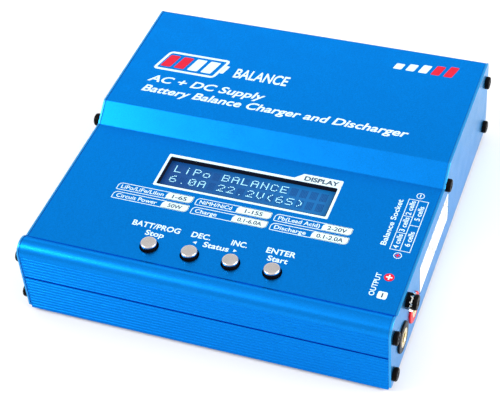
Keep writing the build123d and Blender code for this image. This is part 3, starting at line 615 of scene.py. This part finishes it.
def leaning(x0, y0, x1, y1, radius, grow=0.0):
    """A rounded box that leans to the right towards the rear."""
    return [(x + (y - y0) * LEAN, y) for x, y in rounded(x0, y0, x1, y1, [radius] * 4, grow)]


def battery_pictogram():
    upper_white.band(leaning(*BATTERY), leaning(*BATTERY, grow=-BATTERY_LINE))
    upper_white.fill(leaning(-30.4, 36.2, -28.9, 41.0, 0.4))
    for i, film in enumerate((upper_red, upper_red, upper_white, upper_white)):
        x = CHARGE_X + CHARGE_PITCH * i
        film.fill(leaning(x, 34.9, x + CHARGE_WIDTH, 42.1, 0.5))


def titles():
    for text, left, right, base, cap, slant in (
        ("BALANCE", -24.6, -2.6, 35.3, 5.4, 0.15),
        ("AC + DC Supply", -56.0, -8.3, 25.1, 3.75, 0.25),
        ("Battery Balance Charger and Discharger", -56.0, 49.2, 18.9, 3.75, 0.25),
    ):
        upper_white.words(text, left, right, base, cap, weight=TITLE_WEIGHT, slant=slant)


def level_gauge():
    """Five bars that grow, at the rear corner."""
    for i, film in enumerate((upper_white, upper_white, upper_white, upper_red, upper_red)):
        x = GAUGE_X + GAUGE_PITCH * i
        top = GAUGE_Y + GAUGE_HEIGHT + GAUGE_STEP * i
        film.fill(leaning(x, GAUGE_Y, x + GAUGE_WIDTH, top, 0.5))


window_border()
window_shade_lining()
for name in BUTTONS:
    button_sleeve(name)
for low, high, pills in PILL_ROWS:
    for entry in pills:
        pill(low, high, *entry)
button_names()
socket_table()
polarity_marks()
battery_pictogram()
titles()
level_gauge()
for film in (deck_white, deck_dark, deck_red, deck_detail, upper_white, upper_red):
    film.done()


# ---- Display characters ---------------------------------------------------------------------

# Each glyph is seven rows of five dots
GLYPHS = {
    "L": "X.... X.... X.... X.... X.... X.... XXXXX",
    "i": "..X.. ..... ..X.. ..X.. ..X.. ..X.. ..X..",
    "P": "XXXX. X...X X...X XXXX. X.... X.... X....",
    "o": "..... ..... .XXX. X...X X...X X...X .XXX.",
    "B": "XXXX. X...X X...X XXXX. X...X X...X XXXX.",
    "A": ".XXX. X...X X...X XXXXX X...X X...X X...X",
    "N": "X...X X...X XX..X X.X.X X..XX X...X X...X",
    "C": ".XXX. X...X X.... X.... X.... X...X .XXX.",
    "E": "XXXXX X.... X.... XXXX. X.... X.... XXXXX",
    "6": "..XX. .X... X.... XXXX. X...X X...X .XXX.",
    ".": "..... ..... ..... ..... ..... ..... ..X..",
    "0": ".XXX. X...X X..XX X.X.X XX..X X...X .XXX.",
    "2": ".XXX. X...X ....X ...X. ..X.. .X... XXXXX",
    "V": "X...X X...X X...X X...X X...X .X.X. ..X..",
    "(": "...X. ..X.. .X... .X... .X... ..X.. ...X.",
    "S": ".XXXX X.... X.... .XXX. ....X ....X XXXX.",
    ")": ".X... ..X.. ...X. ...X. ...X. ..X.. .X...",
    " ": "..... ..... ..... ..... ..... ..... .....",
}
CURSOR_ROW = "....."          # the eighth row, which stays unlit
LINES = ["LiPo BALANCE", "6.0A 22.2V(6S)"]
COLUMNS = 16
CHAR_PITCH = 3.73
LINE_PITCH = 5.3
DOT_WIDTH, DOT_HEIGHT = 0.36, 0.34
DOT_PITCH_X, DOT_PITCH_Y = 0.55, 0.5
FIRST_X = -30.2
FIRST_Y = -10.05


def display_dots():
    lit = Print("display_characters", glass_z, glowing("lit_dot", (0.36, 0.72, 0.8), 0.6))
    unlit = Print("display_cells", glass_z, glowing("unlit_dot", (0.004, 0.045, 0.17), 0.3))
    for line, text in enumerate(LINES):
        for column, letter in enumerate(text.ljust(COLUMNS)):
            for i, row in enumerate(GLYPHS[letter].split() + [CURSOR_ROW]):
                for j, dot in enumerate(row):
                    x = FIRST_X + column * CHAR_PITCH + j * DOT_PITCH_X
                    y = FIRST_Y - line * LINE_PITCH - i * DOT_PITCH_Y
                    right, low = x + DOT_WIDTH, y - DOT_HEIGHT
                    film = lit if dot == "X" else unlit
                    film.fill([(x, low), (right, low), (right, y), (x, y)])
    lit.done()
    unlit.done()


display_dots()


# ---- Floor, light and camera ----------------------------------------------------------------

FLOOR_HALF = 4.0
FLOOR_CELLS = 24
FLOOR_TONES = (0.65, 0.645, 0.64), (0.67, 0.66, 0.655)
FLOOR_GLOW = 0.12
SKY_STRENGTH = 0.92
# Sine of the angle above the horizon, and the sky's brightness there
SKY_STOPS = [(0.0, 1.0), (0.3, 1.05), (0.6, 0.92), (0.72, 0.8), (0.86, 1.15), (1.0, 1.2)]
CAMERA_AT = (0.14909, -0.35924, 0.37898)
CAMERA_TURN = (46.227, 3.918, 19.765)    # degrees
CAMERA_LENS, CAMERA_SENSOR = 102.69, 36  # millimetres
CAMERA_NEAR = 0.01


def light_table():
    """White acrylic lit from below, which keeps the floor beside the object bright."""
    material, tree, shader = finish_nodes("light_table")
    cloud = remap(tree, noise(tree, 6, detail=3), *DRIFT)
    tree.links.new(mix_colour(tree, cloud, *FLOOR_TONES), shader.inputs["Base Color"])
    shader.inputs["Emission Color"].default_value = (1, 1, 0.995, 1)
    shader.inputs["Emission Strength"].default_value = FLOOR_GLOW
    shader.inputs["Roughness"].default_value = 0.6
    shader.inputs["Specular IOR Level"].default_value = 0.2
    bump(tree, shader, noise(tree, 900), 0.2, 0.01 * MM)
    return material


def floor():
    mesh = bmesh.new()
    bmesh.ops.create_grid(mesh, x_segments=FLOOR_CELLS, y_segments=FLOOR_CELLS, size=FLOOR_HALF)
    add_piece("floor", mesh, light_table())


def softbox(name, direction, distance, size, power, target=(0, 0, 0.02)):
    data = bpy.data.lights.new(name, "AREA")
    data.shape = "RECTANGLE"
    data.size, data.size_y = size
    data.energy = power
    lamp = bpy.data.objects.new(name, data)
    bpy.context.scene.collection.objects.link(lamp)
    target = Vector(target)
    lamp.location = target + Vector(direction).normalized() * distance
    lamp.rotation_euler = (target - lamp.location).to_track_quat("-Z", "Y").to_euler()


def sky():
    """Even studio surround, dimmest about 45 degrees up and brightest overhead."""
    world = bpy.data.worlds.new("studio")
    bpy.context.scene.world = world
    world.use_nodes = True
    tree = world.node_tree
    place = tree.nodes.new("ShaderNodeTexCoord")
    split = tree.nodes.new("ShaderNodeSeparateXYZ")
    ramp = tree.nodes.new("ShaderNodeValToRGB")
    tree.links.new(place.outputs["Generated"], split.inputs[0])
    tree.links.new(split.outputs["Z"], ramp.inputs[0])
    tree.links.new(ramp.outputs["Color"], tree.nodes["Background"].inputs["Color"])
    elements = ramp.color_ramp.elements
    elements[0].position, elements[1].position = SKY_STOPS[0][0], SKY_STOPS[-1][0]
    for position, _ in SKY_STOPS[1:-1]:
        elements.new(position)
    for element, (_, value) in zip(elements, SKY_STOPS):
        element.color = (value, value, value, 1)
    tree.nodes["Background"].inputs["Strength"].default_value = SKY_STRENGTH


def camera():
    data = bpy.data.cameras.new("camera")
    data.lens = CAMERA_LENS
    data.sensor_width = CAMERA_SENSOR
    data.clip_start = CAMERA_NEAR
    view = bpy.data.objects.new("camera", data)
    bpy.context.scene.collection.objects.link(view)
    view.location = CAMERA_AT
    view.rotation_euler = [radians(turn) for turn in CAMERA_TURN]
    bpy.context.scene.camera = view


floor()
sky()
softbox("fill", (-0.72, -0.38, 0.64), 1.0, (0.4, 0.4), 7.2)
softbox("front", (-0.3, -0.62, 0.7), 1.0, (1.0, 0.3), 0.6)
softbox("rear", (-0.25, 0.62, 0.38), 0.78, (1.0, 0.22), 0.5)
softbox("side", (0.8, 0.0, 0.6), 0.5, (0.45, 0.35), 3.4, target=(0.12, -0.02, 0))
camera()
bpy.context.scene.view_settings.view_transform = "Standard"
